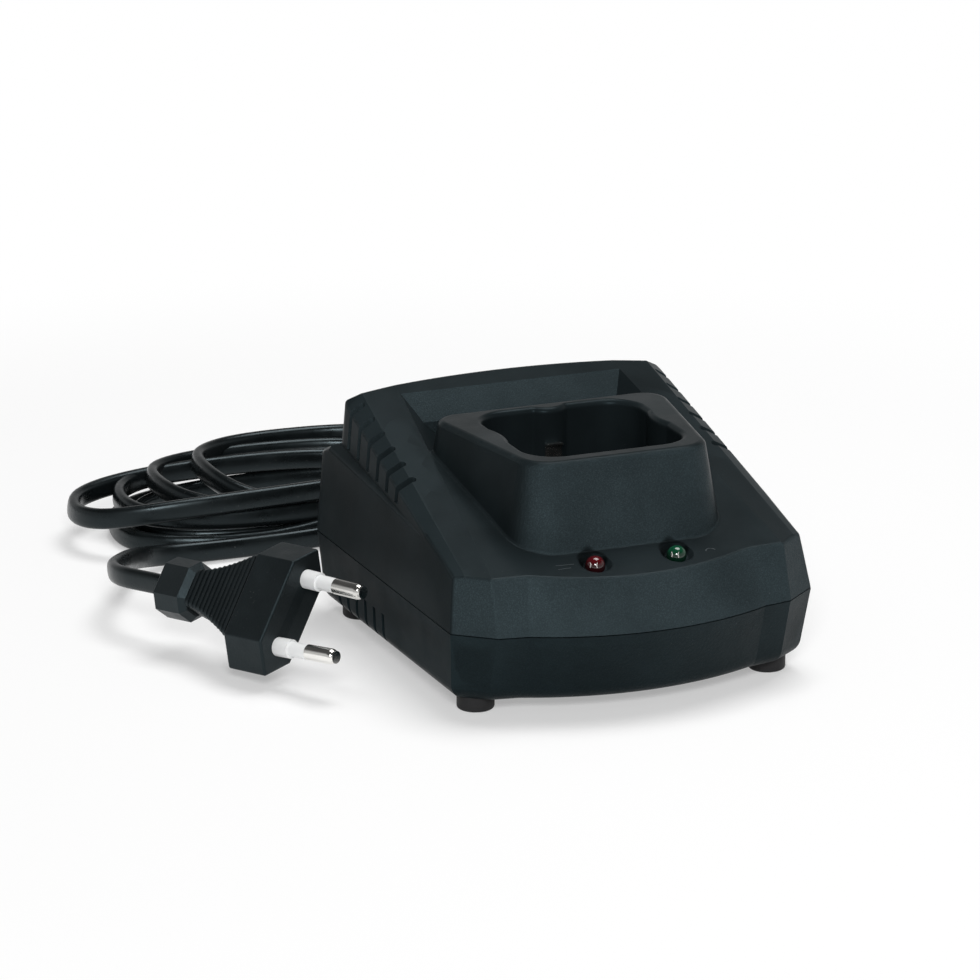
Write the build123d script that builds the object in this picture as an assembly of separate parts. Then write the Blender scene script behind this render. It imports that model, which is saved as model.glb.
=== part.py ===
from build123d import *
import os
from math import atan2, cos, degrees, hypot, pi, radians, sin, tan

# Bench charger for a pod battery: X to the right, Y to the back, Z up, all in millimetres.
# The origin is on the table under the middle of the case.

# ---- case ----
case_width = 97.0            # across the seam between the two shells
case_length = 115.0          # from the nose of the front bow to the back wall
seam_height = 22.0           # height of the seam above the table
seam_gap = 0.3               # shadow line between the shells
wall = 2.0
foot_height = 3.5            # the rubber feet hold the case this far off the table
facet_width = 9.4            # corner facet, measured across
facet_depth = 8.0            # corner facet, measured front to back
strip_width = 7.5            # narrow strip between the corner facet and the bow
strip_depth = 1.4
bow_depth = 7.5              # how far the bow stands out in front of the strips
back_bow = 2.0               # how far the back wall bulges
corner_radius = 7.0          # back corners

# lean of the upper shell's walls, in degrees from upright
side_lean_front = 8.2
side_lean_back = 2.3
facet_lean = 13.2
strip_lean_outer = 19.3
strip_lean_inner = 23.3
bow_lean = 34.3
back_lean = 5.0

# ---- sloping deck and its rails ----
deck_height = 48.6           # height of the deck at mid length
deck_slope = 16.5            # degrees
crease_inset_front = 9.7      # the rail creases lie this far inside the case edge at the front
crease_inset_back = 18.2      # and at the back of the rear pocket
crease_setback = 13.8         # the creases start this far behind the nose
ridge_inset_back = 10.7       # where the rails fold down at the back
rail_inset_front = 2.0        # outer edges of the rails, front and back
rail_inset_back = 4.3
rail_drop_front = 2.4        # how far the outer rail edge lies below the deck
rail_drop_back = 4.3
rail_front_setback = 20.0
rail_back_setback = 15.0
deck_back_setback = 13.9      # from the back wall to the back edge of the deck, at the middle
back_edge_radius = 186.0     # plan radius of the bowed back edge
back_bevel = 38.0            # degrees below level

# ---- raised core above the side ledges ----
core_inset = 3.9              # at the ledge height, at the back
core_widening = 1.1          # the core is this much wider on each side at its front
core_front_setback = 41.5
core_back_setback = 8.5
core_bow = 2.0
core_draft = 5.0
ledge_drop = 2.1              # inner edge of the ledge at the back, below the deck at mid length
ledge_front_setback = 35.5    # where the ledge runs out into the rail
ledge_slope = 25.0           # degrees, falling outwards
ledge_front_drop = 2.6       # the ledge starts this far below the deck
edge_round = 1.3
front_zone = 4.4              # the front edges are rounded up to this far in front of the ledge
edge_zone = 1.7               # the outer edges lie this far or more outside the core
back_zone = 8.0               # and the back ones this far or more above the ledge
rail_overrun = 0.25          # the rail's form runs on past both ends by this share
ridge_lift = 0.6             # share by which the rail's ridge is raised at the back
far = 90.0                   # reach of the cutting shapes past the case

# ---- tower and battery well ----
tower_rise = 11.4             # above the deck at mid length
tower_setback = 23.8          # from the nose to the front of the tower
tower_length = 49.4
tower_inset_front = 24.7      # from the case edge to the side of the tower
tower_inset_back = 16.4
tower_corner_front = 8.0
tower_corner_back = 6.5
tower_draft = 8.8
tower_edge_round = 1.8
tower_base_round = 0.8
tower_foot_drop = 14.6        # the tower's walls run down inside the case by this much
well_side_wall = 2.6          # thickness of the tower beside the well, at its front
well_depth = 40.4
well_front_wall = 5.3         # and in front of it
well_corner = 8.5
well_floor_height = 17.0     # top of the well's floor
bump_depth = 1.1             # keying bumps inside the well
bump_radius = 18.0
bump_offset = 1.7            # side bumps sit this far behind the well's middle
back_bump_depth = 2.0
back_bump_radius = 6.0
bump_blend = 1.6
rim_round = 1.4

# ---- pocket behind the tower ----
pocket_back_setback = 20.0
pocket_tuck = 3.9             # the pocket starts this far inside the back of the tower
pocket_floor_rise = 0.6       # above the deck at mid length
pocket_step = 4.2            # upright step under the sloping back wall
pocket_slope = 45.0
pocket_side_inset = 3.7      # how far the side walls lean in over the sloping part
pocket_groove_length = 44.0  # shadow groove at the foot of the step
groove_width = 0.8
groove_depth = 0.8

# ---- vents ----
vent_count = 6
vent_pitch = 7.0
vent_width = 2.1
vent_setback = 20.3           # from the back wall to the first slot
vent_reach = 7.2              # the slots reach this far in from the case edge
vent_foot_gap = 0.5          # the slots stop this far above the ledge
low_vent_count = 6
low_vent_pitch = 6.0
low_vent_setback = 50.9
low_vent_width = 1.7
low_vent_length = 8.4
low_vent_reach = 5.5
low_vent_middle = 8.4
low_vent_slant = 5.0

# ---- lower shell ----
low_inset = 1.0              # the lower shell draws in by this much at the back of the sides
low_side_inset = 1.7         # and by this much at their front
low_front_inset = 7.0        # and by this much at the bow
low_strip_inset = 6.0
low_facet_inset = 3.6
low_back_inset = 3.0
bottom_round = 4.5

# ---- screws, bosses and feet ----
boss_diameter = 7.0
post_diameter = 8.0
post_drop = 4.0              # a lower post meets an upper boss this far below the seam
pilot_depth = 11.0
screw_diameter = 2.4
screw_hole_diameter = 2.9
screw_head_diameter = 5.4
screw_head_height = 2.0
screw_slot_width = 0.9
screw_slot_length = 3.2
screw_head_round = 0.7
screw_seat_depth = 5.0       # the heads sit this far up inside the posts
screw_inset_front = 22.5
screw_setback_front = 20.0
screw_inset_back = 20.5
screw_setback_back = 10.5
foot_diameter = 9.4
foot_inset = 9.1
foot_setback_front = 23.0
foot_setback_back = 14.5
foot_recess = 1.0
foot_round = 0.8
foot_stem_diameter = 4.0
foot_stem_length = 3.5
seam_recess = 0.8            # depth of the shadow line
lip_thickness = 1.3
lip_height = 2.0
fit_gap = 0.1
sliver = 0.01

# ---- indicator lamps ----
lamp_share = 0.2535           # the lamps sit at this share of their board, either side of its middle
lamp_setback = 15.1
lamp_diameter = 5.0
lamp_flange_diameter = 5.8
lamp_flange_thickness = 1.0
lamp_length = 9.3
lamp_clearance = 0.05
lamp_dish_diameter = 8.4
lamp_dish_depth = 1.2
lamp_stand_out = 1.7
lamp_board_gap = 1.0          # between the end of the lamp board and a screw boss
lamp_board_width = 7.0
lamp_board_thickness = 1.2
lamp_boss_inset = 2.7
lamp_boss_diameter = 4.6

# ---- circuit board ----
board_thickness = 1.6
board_side_gap = 7.5          # between the board and the outside of the case
board_front_gap = 29.5
board_back_gap = 16.0
board_height = 8.5           # underside of the circuit board
board_corner = 3.0
board_post_diameter = 6.0
board_post_inset = 4.0        # from the edges of the board to its posts
board_post_inset_front = 6.0
board_post_inset_back = 6.5
small_screw_diameter = 1.8
small_screw_grip = 2.0
small_head_diameter = 3.6
small_head_height = 1.2

# ---- transformer ----
transformer_x = -3.0
transformer_gap = 17.0        # from the inside of the well to the middle of the transformer
transformer_width = 26.0
transformer_depth = 9.0
transformer_height = 23.0
transformer_base = 2.0
winding_round = 2.0

# ---- other components ----
component_round = 0.8
bulk_gap = 12.5               # from the middle of the filter capacitor
bulk_shift = 1.0              # in front of the middle of the transformer
bulk_diameter = 14.0
bulk_height = 24.0
can_groove_drop = 2.5
can_groove = 1.0
output_can_count = 2
output_can_inset = 8.0        # the side pieces stand this far inside the edge of the board
output_can_shift = 8.0        # from the middle of the contacts
output_can_pitch = 10.0
output_can_diameter = 8.0
output_can_height = 14.0
film_inset = 4.5
film_shift = 11.0
film_width = 6.0
film_depth = 15.0
film_height = 12.0
choke_inset = 8.0
choke_shift = 4.0
choke_diameter = 15.0
choke_hole = 6.0
choke_width = 8.0
fuse_inset = 10.0
fuse_gap = 9.0
fuse_diameter = 5.0
fuse_length = 16.0
fuse_rise = 3.0
clip_wall = 0.5
clip_length = 2.4
clip_offset = 5.6            # from the middle of the fuse to each clip
bridge_x = 6.0
bridge_shift = 10.0           # in front of the middle of the contacts
bridge_width = 9.0
bridge_depth = 6.0
bridge_height = 3.0
sink_inset = 5.0
sink_shift = 11.0
sink_thickness = 2.5
sink_length = 24.0
sink_height = 22.0
transistor_thickness = 4.5
transistor_width = 10.0
transistor_height = 15.0
chip_x = -12.0
chip_shift = 9.0              # behind the middle of the contacts
chip_width = 10.0
chip_depth = 6.4
chip_height = 3.4
opto_x = 12.0
opto_shift = 18.0
opto_width = 4.6
opto_depth = 6.4
opto_height = 3.4

# ---- battery contacts ----
contact_setback = 14.4        # from the front of the well
contact_width = 24.0
contact_depth = 8.0
contact_height = 14.0
contact_clearance = 0.3
blade_count = 4
blade_pitch = 5.5
blade_thickness = 0.8
blade_depth = 5.0
blade_top = 22.0
strip_contact_width = 4.4
strip_contact_thickness = 0.5
strip_contact_hook = 1.6
strip_contact_drop = 9.0      # below the top of the tower

# ---- mains lead ----
cord_width = 5.6
gland_x = 12.0
gland_height = 12.5
gland_reach = 7.0
gland_hole_diameter = 9.0
gland_flange_diameter = 12.0
boot_length = 20.0
boot_base_diameter = 10.4
boot_tip_diameter = 7.4
boot_groove_count = 3
boot_groove_pitch = 4.0
boot_groove_width = 1.6
boot_groove_depth = 0.6
boot_groove_step = 0.4
sheath_length = 4.0
core_diameter = 2.0
core_pitch = 2.6
core_run = 3.4
core_sweep = 1.4
bend_share = 0.45            # share of the shorter run that a bend may use
tail_overlap = 14.0
tail_turn = 12.0
tail_diagonal = 18.4
tail_fall = 9.2
tail_last_run = 25.8
coil_centre = (-35.5, 128.5)
coil_half_length = 54.0
coil_half_depth = 33.0
coil_band = 24.0             # width of the band that the turns fill
coil_height = 19.0
coil_round = 4.0
lead_straight = 22.0
lead_join_x = -35.5
lead_join_y = -22.5
lead_bow = 1.5

# ---- plug ----
plug_face = (-73.8, 1.3, 17.8)     # middle of the plug's front face
plug_heading = (0.462, -0.886, 0.045)
plug_across = (-0.531, -0.317, -0.786)   # along the wide side of the plug, from the upper pin to the lower
plug_width = 35.3
plug_thickness = 13.7
plug_flat = 22.0                   # width of the flat sides
plug_block = 12.5                  # length of the wide block behind the face
plug_round = 0.7
neck_length = 20.5
neck_overlap = 2.0
neck_end_width = 9.4
neck_end_thickness = 8.6
neck_curve = 1.6
neck_round = 1.2
neck_rib_count = 13
neck_rib_width = 0.8
neck_rib_depth = 1.0
relief_length = 11.0
relief_width = 14.6
relief_thickness = 11.8
relief_corner = 3.2
relief_chamfer = 1.5
pin_diameter = 4.0
pin_core_diameter = 3.2
pin_tip_round = 1.7
pin_length = 19.0
pin_spacing_base = 18.6
pin_spacing_tip = 17.6
pin_root_depth = 6.0
sleeve_length = 10.0
sleeve_diameter = 3.8
sleeve_base_diameter = 4.8
sleeve_base_length = 4.5

os.makedirs("parts", exist_ok=True)
pieces = {}

half_width = case_width / 2
front_y = -case_length / 2
back_y = case_length / 2
slope_tan = tan(radians(deck_slope))

# places that follow from the sizes above
crease_front = half_width - crease_inset_front
crease_back = half_width - crease_inset_back
crease_front_y = front_y + crease_setback
rail_ridge_back = half_width - ridge_inset_back
rail_edge_front = half_width - rail_inset_front
rail_edge_back = half_width - rail_inset_back
rail_edge_front_y = front_y + rail_front_setback
rail_edge_back_y = back_y - rail_back_setback
deck_back = back_y - deck_back_setback
core_half_width = half_width - core_inset
core_front = front_y + core_front_setback
core_back = back_y - core_back_setback
ledge_height = deck_height - ledge_drop
ledge_front_y = front_y + ledge_front_setback
tower_height = deck_height + tower_rise
tower_front = front_y + tower_setback
tower_back = tower_front + tower_length
tower_half_front = half_width - tower_inset_front
tower_half_back = half_width - tower_inset_back
tower_foot = deck_height - tower_foot_drop
well_width = 2 * (tower_half_front - well_side_wall)
well_front = tower_front + well_front_wall
well_back = well_front + well_depth
pocket_back = back_y - pocket_back_setback
pocket_front = tower_back - pocket_tuck
pocket_floor = deck_height + pocket_floor_rise
vent_first_y = back_y - vent_setback
vent_inner_x = half_width - vent_reach
low_vent_first_y = back_y - low_vent_setback
post_top = seam_height - post_drop
screw_front_x = half_width - screw_inset_front
screw_front_y = front_y + screw_setback_front
screw_back_x = half_width - screw_inset_back
screw_back_y = back_y - screw_setback_back
foot_x = half_width - foot_inset
foot_front_y = front_y + foot_setback_front
foot_back_y = back_y - foot_setback_back
lamp_y = front_y + lamp_setback
lamp_board_length = 2 * (screw_front_x - boss_diameter / 2 - lamp_board_gap)
lamp_x = lamp_share * lamp_board_length
lamp_boss_x = lamp_board_length / 2 - lamp_boss_inset
board_half = half_width - board_side_gap
board_front = front_y + board_front_gap
board_back = back_y - board_back_gap
board_post_x = board_half - board_post_inset
board_post_front_y = board_front + board_post_inset_front
board_post_back_y = board_back - board_post_inset_back
contact_y = well_front + contact_setback
transformer_y = well_back + transformer_gap
film_x = board_half - film_inset
film_y = transformer_y - film_shift
bulk_x = film_x - bulk_gap
bulk_y = transformer_y - bulk_shift
output_can_x = board_half - output_can_inset
output_can_y = contact_y + output_can_shift
choke_x = -board_half + choke_inset
choke_y = contact_y + choke_shift
fuse_x = board_half - fuse_inset
fuse_y = board_front + fuse_gap
bridge_y = contact_y - bridge_shift
sink_x = -board_half + sink_inset
sink_y = transformer_y - sink_shift
chip_y = contact_y + chip_shift
opto_y = contact_y + opto_shift
strip_contact_top = tower_height - strip_contact_drop


def deck_z(y, drop=0.0):
    """Height of the deck above the table at distance y, lowered square to the deck."""
    return deck_height + slope_tan * y - drop / cos(radians(deck_slope))


def lean(rise, degrees_from_upright):
    return rise * tan(radians(degrees_from_upright))


def block(x_low, x_high, y_low, y_high, z_low, z_high):
    size = (x_high - x_low, y_high - y_low, z_high - z_low)
    middle = ((x_low + x_high) / 2, (y_low + y_high) / 2, (z_low + z_high) / 2)
    return Pos(*middle) * Box(*size)


def rod(x, y, z_low, z_high, diameter):
    return Pos(x, y, (z_low + z_high) / 2) * Cylinder(diameter / 2, z_high - z_low)


def mirrored(solid):
    return mirror(solid, about=Plane.YZ)


def outline(corners, nose, tail, inset=0.0):
    """Closed case outline: corners run from the back right to the front right, the left side mirrors them."""
    left = [(-x, y) for x, y in reversed(corners)]
    edges = [Line(a, b) for a, b in zip(corners, corners[1:])]
    edges.append(ThreePointArc(corners[-1], (0, nose), left[0]))
    edges += [Line(a, b) for a, b in zip(left, left[1:])]
    edges.append(ThreePointArc(left[-1], (0, tail), corners[0]))
    face = make_face(Curve() + edges)
    if inset:
        face = offset(face, amount=-inset, kind=Kind.INTERSECTION)
    rear = face.vertices().sort_by(Axis.Y)[-2:]
    return fillet(rear, corner_radius - inset)


# corners of the case outline at the seam, on the right-hand side
strip_inner_x = half_width - facet_width - strip_width
strip_outer_x = half_width - facet_width
strip_inner_y = front_y + bow_depth
strip_outer_y = strip_inner_y + strip_depth
facet_y = strip_outer_y + facet_depth


def upper_outline(rise, inset=0.0):
    corners = [
        (half_width - lean(rise, side_lean_back), back_y - back_bow - lean(rise, back_lean)),
        (half_width - lean(rise, side_lean_front), facet_y + lean(rise, facet_lean)),
        (strip_outer_x, strip_outer_y + lean(rise, strip_lean_outer)),
        (strip_inner_x - lean(rise, side_lean_front), strip_inner_y + lean(rise, strip_lean_inner)),
    ]
    nose = front_y + lean(rise, bow_lean)
    return outline(corners, nose, back_y - lean(rise, back_lean), inset)


def rail_cutter(inset=0.0):
    """Everything above the right-hand rail, from the crease outwards."""
    sections = []
    for reach in (-rail_overrun, 1 + rail_overrun):
        y = rail_edge_front_y + reach * (rail_edge_back_y - rail_edge_front_y)
        crease_reach = (y - crease_front_y) / (pocket_back - crease_front_y)
        crease_x = crease_front + crease_reach * (crease_back - crease_front)
        edge_x = rail_edge_front + reach * (rail_edge_back - rail_edge_front)
        edge_drop = rail_drop_front + reach * (rail_drop_back - rail_drop_front)
        straight_ridge_x = (crease_x + edge_x) / 2
        ridge_x = straight_ridge_x + reach * (rail_ridge_back - straight_ridge_x)
        straight_drop = edge_drop * (ridge_x - crease_x) / (edge_x - crease_x)
        ridge_drop = straight_drop * (1 - ridge_lift * max(reach, 0.0))
        fall = (edge_drop - ridge_drop) / (edge_x - ridge_x)
        top = deck_z(y, inset)
        points = [
            (crease_x, top),
            (ridge_x, top - ridge_drop),
            (edge_x + far, top - edge_drop - fall * far),
            (edge_x + far, top + far),
            (crease_x, top + far),
        ]
        section = Plane((0, y, 0), x_dir=(1, 0, 0), z_dir=(0, -1, 0))
        sections.append(section * make_face(Polyline(points, close=True)))
    return loft(sections, ruled=True)


def deck_cutter(inset=0.0):
    """Everything above the deck plane."""
    points = [
        (-far, deck_z(-far, inset)),
        (far, deck_z(far, inset)),
        (far, deck_z(far, inset) + far),
        (-far, deck_z(far, inset) + far),
    ]
    return extrude(Plane.YZ * make_face(Polyline(points, close=True)), far, both=True)


def below_bevel(edge_y, edge_z, fall_angle, inset=0.0):
    """Upright cone whose skin is a bevel that falls away behind a bowed back edge."""
    low = -far
    high = edge_z + far / 2
    widen = 1 / tan(radians(fall_angle))
    radius_low = back_edge_radius + (edge_z - low) * widen - inset / sin(radians(fall_angle))
    radius_high = radius_low - (high - low) * widen
    cone = Cone(radius_low, radius_high, high - low)
    return Pos(0, edge_y - back_edge_radius, (low + high) / 2) * cone


def above_ledge(inset=0.0):
    """Everything above the right-hand ledge plane."""
    inner_back = Vector(core_half_width, rail_edge_back_y, ledge_height)
    start_z = deck_z(ledge_front_y) - ledge_front_drop
    inner_front = Vector(core_half_width + core_widening, ledge_front_y, start_z)
    along = inner_back - inner_front
    across = Vector(cos(radians(ledge_slope)), 0, -sin(radians(ledge_slope)))
    up = along.cross(-across).normalized()
    plane = Plane(origin=inner_back - up * inset, x_dir=along.normalized(), z_dir=up)
    return plane * Box(4 * far, 4 * far, far, align=(Align.CENTER, Align.CENTER, Align.MIN))


def core_section(z, inset=0.0):
    shift = lean(z - ledge_height, core_draft)
    back_x = core_half_width - shift
    widening = core_widening / (core_back - core_front)
    front_x = back_x + widening * (core_back + far)
    corners = [(back_x, core_back - core_bow), (front_x, -far)]
    left = [(-x, y) for x, y in reversed(corners)]
    edges = [Line(corners[0], corners[1]), Line(corners[1], left[0]), Line(left[0], left[1])]
    edges.append(ThreePointArc(left[1], (0, core_back), corners[0]))
    face = make_face(Curve() + edges)
    if inset:
        face = offset(face, amount=-inset, kind=Kind.INTERSECTION)
    rear = face.vertices().sort_by(Axis.Y)[-2:]
    return Pos(0, 0, z) * fillet(rear, corner_radius - inset)


def core_block(inset=0.0):
    """The raised middle of the upper shell, run on past the front."""
    core = loft([core_section(0.0, inset), core_section(far, inset)], ruled=True)
    core &= below_bevel(deck_back, deck_z(deck_back), back_bevel, inset)
    rail = rail_cutter(inset)
    return core - deck_cutter(inset) - rail - mirrored(rail)


def case_block(inset=0.0, depth=0.0):
    """The outer form of the upper shell, or its cavity when inset by the wall and run down by the depth."""
    low = seam_height - depth
    high = deck_z(back_y)
    skirt = loft(
        [Pos(0, 0, low) * upper_outline(low - seam_height, inset),
         Pos(0, 0, high) * upper_outline(high - seam_height, inset)],
        ruled=True,
    )
    core = core_block(inset)
    ledge = above_ledge(inset)
    rail = rail_cutter(inset)
    skirt_low = skirt & below_bevel(core_back, ledge_height, ledge_slope, inset)
    skirt_low = skirt_low - ledge - mirrored(ledge) - deck_cutter(inset) - rail - mirrored(rail)
    return (skirt & core) + skirt_low


def tower_section(z, inset=0.0):
    grow = lean(tower_height - z, tower_draft) - inset
    points = [
        (tower_half_front + grow, tower_front - grow),
        (tower_half_back + grow, tower_back + grow / 2),
        (-tower_half_back - grow, tower_back + grow / 2),
        (-tower_half_front - grow, tower_front - grow),
    ]
    face = make_face(Polyline(points, close=True))
    ends = face.vertices().sort_by(Axis.Y)
    face = fillet(ends[-2:], tower_corner_back - inset)
    ends = face.vertices().sort_by(Axis.Y)
    return Pos(0, 0, z) * fillet(ends[:2], tower_corner_front + grow)


def tower_block(inset=0.0):
    sections = [tower_section(tower_foot, inset), tower_section(tower_height - inset, inset)]
    tower = loft(sections, ruled=True)
    if inset:
        return tower
    return fillet(tower.edges().group_by(Axis.Z)[-1], tower_edge_round)


def well_outline(grow=0.0):
    middle_y = well_front + well_depth / 2
    side_x = well_width / 2 + bump_radius - bump_depth
    side_y = middle_y + bump_offset
    back_y = well_front + well_depth + back_bump_radius - back_bump_depth
    bumps = [(side_x, side_y, bump_radius), (-side_x, side_y, bump_radius), (0, back_y, back_bump_radius)]
    face = Pos(0, middle_y) * RectangleRounded(well_width, well_depth, well_corner)
    for x, y, radius in bumps:
        face = face - Pos(x, y) * Circle(radius)
    kinks = []
    for kink in face.vertices():
        if any(hypot(kink.X - x, kink.Y - y) < radius + sliver for x, y, radius in bumps):
            kinks.append(kink)
    face = fillet(kinks, bump_blend)
    return offset(face, amount=grow) if grow else face


def pocket_block(grow=0.0):
    """The recess behind the tower; grown by the wall it gives the pocket's outer skin."""
    floor = pocket_floor - grow
    drop = deck_z(pocket_back) - pocket_floor - pocket_step
    step_y = pocket_back - drop / tan(radians(pocket_slope)) + grow
    step_z = pocket_floor + pocket_step - grow * (1 / cos(radians(pocket_slope)) - 1)
    profile = [
        (pocket_front - grow, floor),
        (step_y, floor),
        (step_y, step_z),
        (step_y + far / tan(radians(pocket_slope)), step_z + far),
        (pocket_front - grow, step_z + far),
    ]
    body = extrude(Plane.YZ * make_face(Polyline(profile, close=True)), far, both=True)
    back_corner = Vector(crease_back, pocket_back, deck_z(pocket_back))
    reach = (pocket_front - crease_front_y) / (pocket_back - crease_front_y)
    front_x = crease_front + reach * (crease_back - crease_front)
    front_corner = Vector(front_x, pocket_front, deck_z(pocket_front))
    low_corner = Vector(crease_back - pocket_side_inset, step_y - grow, pocket_floor + pocket_step)
    outward = (front_corner - back_corner).cross(back_corner - low_corner).normalized()
    if outward.X < 0:
        outward = -outward
    side = Plane(origin=back_corner + outward * grow, z_dir=outward)
    trim = side * Box(4 * far, 4 * far, far, align=(Align.CENTER, Align.CENTER, Align.MIN))
    return body - trim - mirrored(trim)


def is_rounded(edge):
    """Whether this is a rounded outer edge of the case, and not an upright corner or a seam edge."""
    middle = edge @ 0.5
    side = abs(middle.X)
    foot = min((edge @ 0).Z, (edge @ 1).Z)
    front = middle.Y < ledge_front_y - front_zone and middle.Z > seam_height + wall
    ledge = foot > seam_height + 2 * wall and (
        side > core_half_width + edge_zone or middle.Y > core_back + edge_round)
    rail = side > core_half_width and middle.Z > ledge_height
    back = middle.Z > ledge_height + back_zone and middle.Y > rail_edge_back_y - back_zone / 2
    return front or ledge or rail or back


def is_tower_base(edge):
    """Whether this edge lies where the tower rises from the deck."""
    places = [edge @ 0, edge @ 0.5, edge @ 1]
    level = all(abs(place.Z - deck_z(place.Y)) < seam_gap for place in places)
    middle = places[1]
    beside = abs(middle.X) < tower_half_back + wall
    along = tower_front - 2 * wall < middle.Y < pocket_front - seam_gap
    return level and beside and along and edge.length > wall


def on_deck(x, y, depth=0.0):
    """Plane lying on the deck, lowered by a depth square to it."""
    tilt = radians(deck_slope)
    normal = Vector(0, -sin(tilt), cos(tilt))
    return Plane(origin=Vector(x, y, deck_z(y)) - normal * depth, x_dir=(1, 0, 0), z_dir=normal)


def ring(outer, inner, height, base=0.0):
    rounds = Cylinder(outer / 2, height) - Cylinder(inner / 2, height)
    return Pos(0, 0, base + height / 2) * rounds


def side_slots():
    """L-shaped slots through each rail and down the wall of the core."""
    slots = []
    fall = (ledge_height - deck_z(ledge_front_y) + ledge_front_drop) / (rail_edge_back_y - ledge_front_y)
    for index in range(vent_count):
        y = vent_first_y - index * vent_pitch
        foot = ledge_height - fall * (rail_edge_back_y - y) + vent_foot_gap
        length = half_width - vent_inner_x
        plan = Pos(vent_inner_x + length / 2, y) * SlotOverall(length + vent_width, vent_width)
        slots.append(Pos(0, 0, foot) * extrude(plan, far))
    return slots


def low_slots():
    """Slanted slots through the foot of each side wall."""
    slots = []
    for index in range(low_vent_count):
        y = low_vent_first_y + index * low_vent_pitch
        cut = Box(low_vent_reach, low_vent_width, low_vent_length)
        place = Pos(half_width - low_vent_reach / 2 + wall, y, low_vent_middle)
        slots.append(place * Rot(low_vent_slant, 0, 0) * cut)
    return slots


def lower_outline(z, inset=0.0):
    """Outline of the lower shell, which draws in towards its floor."""
    reach = (seam_height - z) / (seam_height - foot_height)
    corners = [
        (half_width - low_inset * reach, back_y - back_bow - low_back_inset * reach),
        (half_width - low_side_inset * reach, facet_y + low_facet_inset * reach),
        (strip_outer_x, strip_outer_y + low_strip_inset * reach),
        (strip_inner_x, strip_inner_y + low_strip_inset * reach),
    ]
    nose = front_y + low_front_inset * reach
    return outline(corners, nose, back_y - low_back_inset * reach, inset)


def lower_block(inset=0.0):
    floor = foot_height + inset
    sections = [
        Pos(0, 0, floor) * lower_outline(floor, inset),
        Pos(0, 0, seam_height) * lower_outline(seam_height, inset),
    ]
    shell = loft(sections, ruled=True)
    return fillet(shell.edges().group_by(Axis.Z)[0], bottom_round - inset)


def seam_ring(outer_inset, inner_inset, z_low, z_high):
    face = upper_outline(0.0, outer_inset) - upper_outline(0.0, inner_inset)
    return Pos(0, 0, z_low) * extrude(face, z_high - z_low)


def bosses(spots, z_low, z_high, diameter):
    return [rod(x, y, z_low, z_high, diameter) for x, y in spots]


def tube_path(points):
    """Straight runs joined by tangent arcs, each as wide as its runs allow."""
    points = [Vector(*p) for p in points]
    radii = []
    for before, here, after in zip(points, points[1:], points[2:]):
        run_in = here - before
        run_out = after - here
        turn = radians(run_in.get_angle(run_out))
        shorter = min(run_in.length, run_out.length)
        radii.append(bend_share * shorter / tan(turn / 2))
    return FilletPolyline(*points, radius=radii), radii


def tube(points, diameter):
    """Round tube along the points, with its radii and length."""
    path, radii = tube_path(points)
    section = Plane(origin=path @ 0, z_dir=path % 0) * Circle(diameter / 2)
    return sweep(section, path=path), radii, path.length


def save(name, shape):
    pieces[name] = shape
    export_step(shape, "parts/" + name + ".step")


def lengthwise(diameter, y_low, y_high, x=0.0, z=0.0):
    """Round bar along Y."""
    return Pos(x, (y_low + y_high) / 2, z) * Rot(90, 0, 0) * Cylinder(diameter / 2, y_high - y_low)


# ---- upper shell ----
screw_spots = [(side * screw_front_x, screw_front_y) for side in (-1, 1)]
screw_spots += [(side * screw_back_x, screw_back_y) for side in (-1, 1)]
case = case_block()
case = fillet([e for e in case.edges() if is_rounded(e)], edge_round)
well_hollow = Pos(0, 0, well_floor_height) * extrude(well_outline(), far)
well_skin = Pos(0, 0, well_floor_height - wall) * extrude(well_outline(wall), far)
outside = case - pocket_block() + tower_block() - well_hollow
rim = [e for e in outside.edges() if e.bounding_box().min.Z > tower_height - sliver
       and abs((e @ 0.5).X) < well_width / 2 + sliver
       and well_front - sliver < (e @ 0.5).Y < well_front + well_depth + sliver]
outside = fillet(rim, rim_round)
base = [e for e in outside.edges() if is_tower_base(e)]
outside = fillet(base, tower_base_round)
inside = case_block(wall, wall) - pocket_block(wall) + tower_block(wall) - well_skin
upper = outside - inside
well_foot_height = seam_height - well_floor_height + 2 * wall
well_foot = Pos(0, 0, well_floor_height - wall) * extrude(well_outline(wall), well_foot_height)
upper += well_foot - well_hollow
groove_y = pocket_back - (deck_z(pocket_back) - pocket_floor - pocket_step) / tan(radians(pocket_slope))
upper -= block(-pocket_groove_length / 2, pocket_groove_length / 2, groove_y - groove_width, groove_y,
               pocket_floor - groove_depth, pocket_floor + wall)
boss_space = case_block(wall / 2, seam_height - post_top)
for boss in bosses(screw_spots, post_top, deck_height, boss_diameter):
    upper += boss & boss_space
for pilot in bosses(screw_spots, post_top - wall, post_top + pilot_depth, screw_diameter):
    upper -= pilot
for slot in side_slots():
    upper = upper - slot - mirrored(slot)
lamp_board_depth = lamp_length - lamp_stand_out
for side in (-1, 1):
    lamp_plane = on_deck(side * lamp_x, lamp_y)
    dish = Cone(lamp_dish_diameter / 2 - lamp_dish_depth, lamp_dish_diameter / 2, lamp_dish_depth)
    upper -= lamp_plane * Pos(0, 0, -lamp_dish_depth / 2) * dish
    upper -= lamp_plane * Cylinder(lamp_diameter / 2 + lamp_clearance, 3 * wall)
    boss_length = lamp_board_depth - wall / 2
    boss_plane = on_deck(side * lamp_boss_x, lamp_y, lamp_board_depth)
    upper += boss_plane * Pos(0, 0, boss_length / 2) * Cylinder(lamp_boss_diameter / 2, boss_length)
    upper -= boss_plane * Cylinder(small_screw_diameter / 2, boss_length)
window_x = contact_width / 2 + contact_clearance
window_y = contact_depth / 2 + contact_clearance
upper -= block(-window_x, window_x, contact_y - window_y, contact_y + window_y,
               board_height, well_floor_height + wall)
save("upper_shell", upper)

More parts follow.
